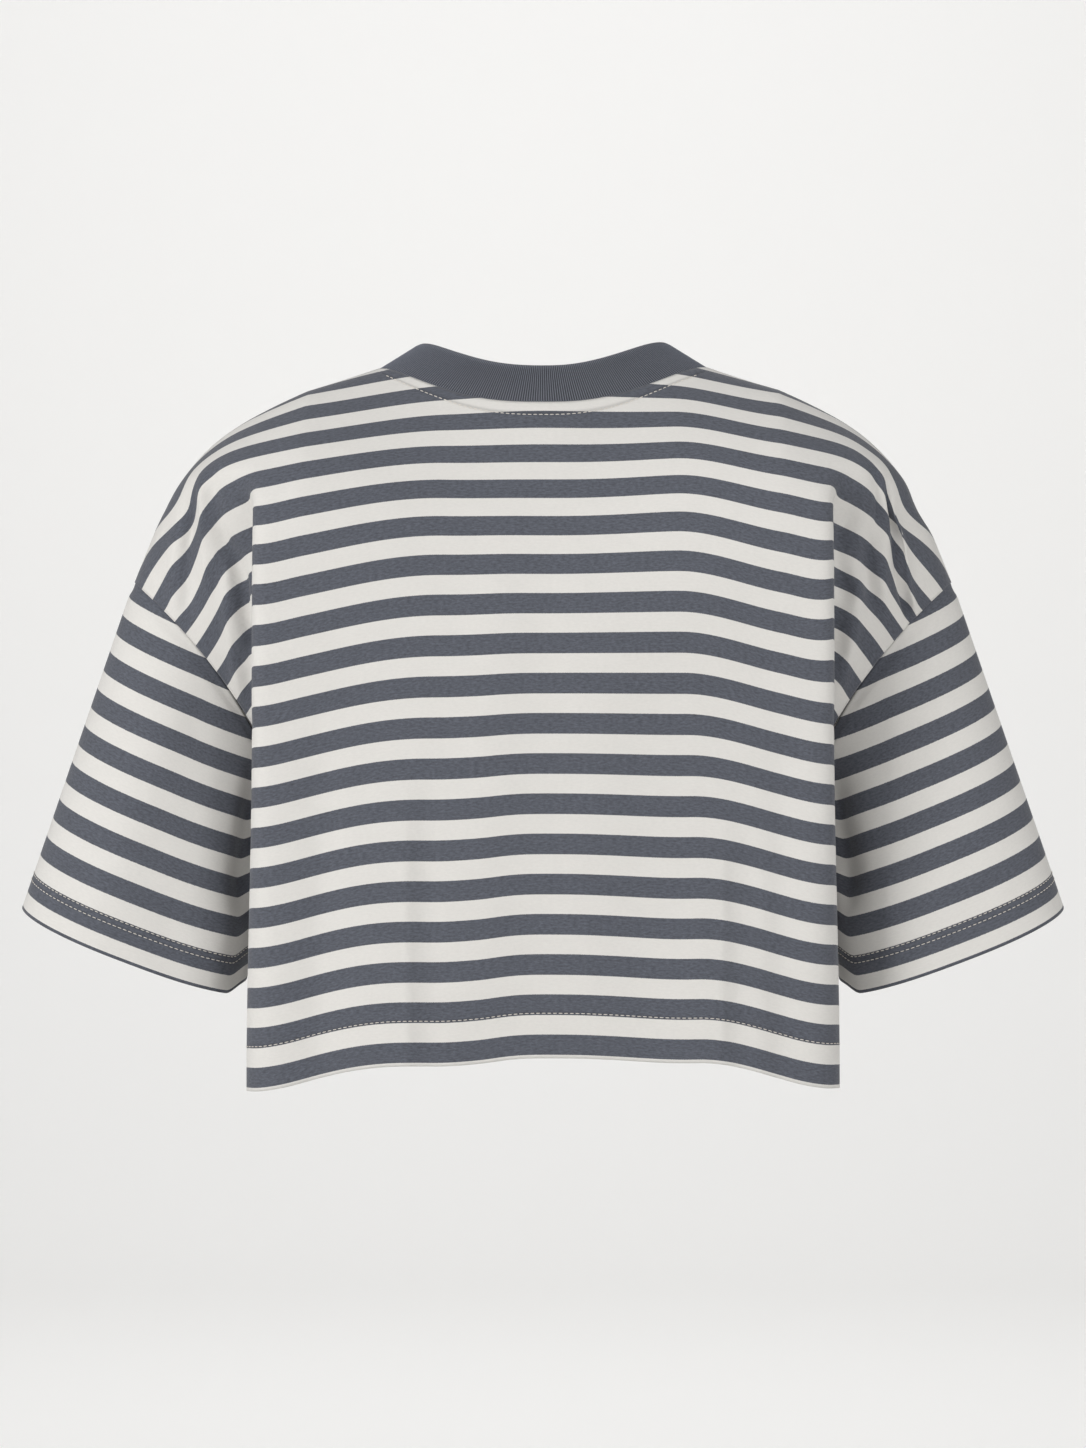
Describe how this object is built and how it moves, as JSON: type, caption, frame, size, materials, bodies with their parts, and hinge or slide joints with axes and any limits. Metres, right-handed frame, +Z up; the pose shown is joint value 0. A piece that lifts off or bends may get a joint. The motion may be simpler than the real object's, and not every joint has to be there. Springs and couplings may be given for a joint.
{
  "type": "crop top",
  "caption": "Boxy cropped T-shirt with dropped shoulders, wide short sleeves and a rib crew neckband, hollow in its worn form.",
  "frame": {"origin": "centre of the neck base, where the garment hangs from the wearer's shoulders, level with the shoulder-neck points", "axes": "+Z up, -Y out of the wearer's back, +Y out of the chest, +X towards the wearer's right sleeve"},
  "size_m": [0.67, 0.2419, 0.478],
  "materials": {
    "back_panel": "matt cotton jersey",
    "front_panel": "matt cotton jersey",
    "sleeve_left": "matt cotton jersey",
    "sleeve_right": "matt cotton jersey",
    "neckband": "matt rib knit"
  },
  "bodies": {
    "root": {"back_panel": "back_panel", "front_panel": "front_panel", "sleeve_left": "sleeve_left", "sleeve_right": "sleeve_right", "neckband": "neckband"}
  },
  "joints": []
}
